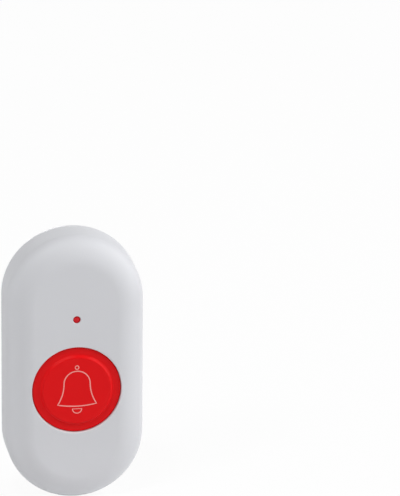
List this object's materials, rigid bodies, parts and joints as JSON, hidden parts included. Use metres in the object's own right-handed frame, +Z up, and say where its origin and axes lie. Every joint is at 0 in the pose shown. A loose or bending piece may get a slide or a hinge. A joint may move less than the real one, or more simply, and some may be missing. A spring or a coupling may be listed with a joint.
{
  "type": "emergency call button",
  "caption": "Wall-hung wireless call button: pill-shaped case with a soft front edge, a large round push button with a bell symbol, a signal lamp, and a pull-off front over a rear cover.",
  "frame": {"origin": "middle of the wall plane, on the back face of the adhesive pad", "axes": "+Z up the case's long axis, +Y into the wall, so the push button faces -Y, +X to the right of somebody facing it"},
  "size_m": [0.04, 0.0169, 0.08],
  "materials": {
    "white_abs": "fine satin moulding",
    "seal_silicone": "matte silicone",
    "pad_foam": "acrylic foam",
    "red_lens": "polished translucent",
    "dome_silicone": "translucent silicone",
    "red_abs": "satin gloss moulding",
    "symbol_white": "inlaid",
    "board_laminate": "solder resist",
    "zinc_steel": "zinc plated",
    "black_plastic": "moulded",
    "spring_steel": "nickel plated strip",
    "tinned_brass": "tinned",
    "diode_white": "moulded",
    "diode_resin": "clear resin",
    "cell_steel": "drawn stainless",
    "chip_epoxy": "moulded epoxy",
    "can_nickel": "drawn nickel",
    "base_brass": "gold flashed",
    "capacitor_tan": "ceramic",
    "copper_wire": "enamelled copper"
  },
  "bodies": {
    "wall_plate": {"rear_cover": "white_abs", "case_seal": "seal_silicone", "adhesive_pad": "pad_foam"},
    "front_unit": {"front_shell": "white_abs", "lamp_lens": "red_lens", "return_dome": "dome_silicone", "circuit_board": "board_laminate", "board_screws": "zinc_steel", "switch_housing": "black_plastic", "switch_cover": "zinc_steel", "snap_disc": "spring_steel", "switch_terminals": "tinned_brass", "signal_diode": "diode_white", "diode_window": "diode_resin", "cell_holder": "black_plastic", "negative_contact": "spring_steel", "positive_contact": "spring_steel", "cell_can": "cell_steel", "cell_ring_seal": "black_plastic", "cell_cap": "cell_steel", "coding_chip": "chip_epoxy", "chip_leads": "tinned_brass", "resonator_can": "can_nickel", "resonator_base": "base_brass", "radio_transistor": "chip_epoxy", "transistor_leads": "tinned_brass", "chip_capacitors": "capacitor_tan", "chip_resistors": "chip_epoxy", "chip_end_caps": "tinned_brass", "antenna_coil": "copper_wire"},
    "button": {"button_cap": "red_abs", "bell_symbol": "symbol_white"},
    "plunger": {"switch_plunger": "black_plastic"}
  },
  "joints": [
    {"name": "front_release", "type": "slide", "parent": "wall_plate", "child": "front_unit", "axis": [0, -1, 0], "range_m": [0, 0.03]},
    {"name": "button_press", "type": "slide", "parent": "front_unit", "child": "button", "axis": [0, 1, 0], "range_m": [0, 0.001], "stiffness_N_per_m": 1200, "springref_m": -0.001, "deforming": ["return_dome"]},
    {"name": "plunger_press", "type": "slide", "parent": "front_unit", "child": "plunger", "axis": [0, 1, 0], "range_m": [0, 0.0003], "deforming": ["snap_disc"]}
  ],
  "couplings": [
    {"joint": "plunger_press", "follows": "button_press", "ratio": 0.3}
  ]
}
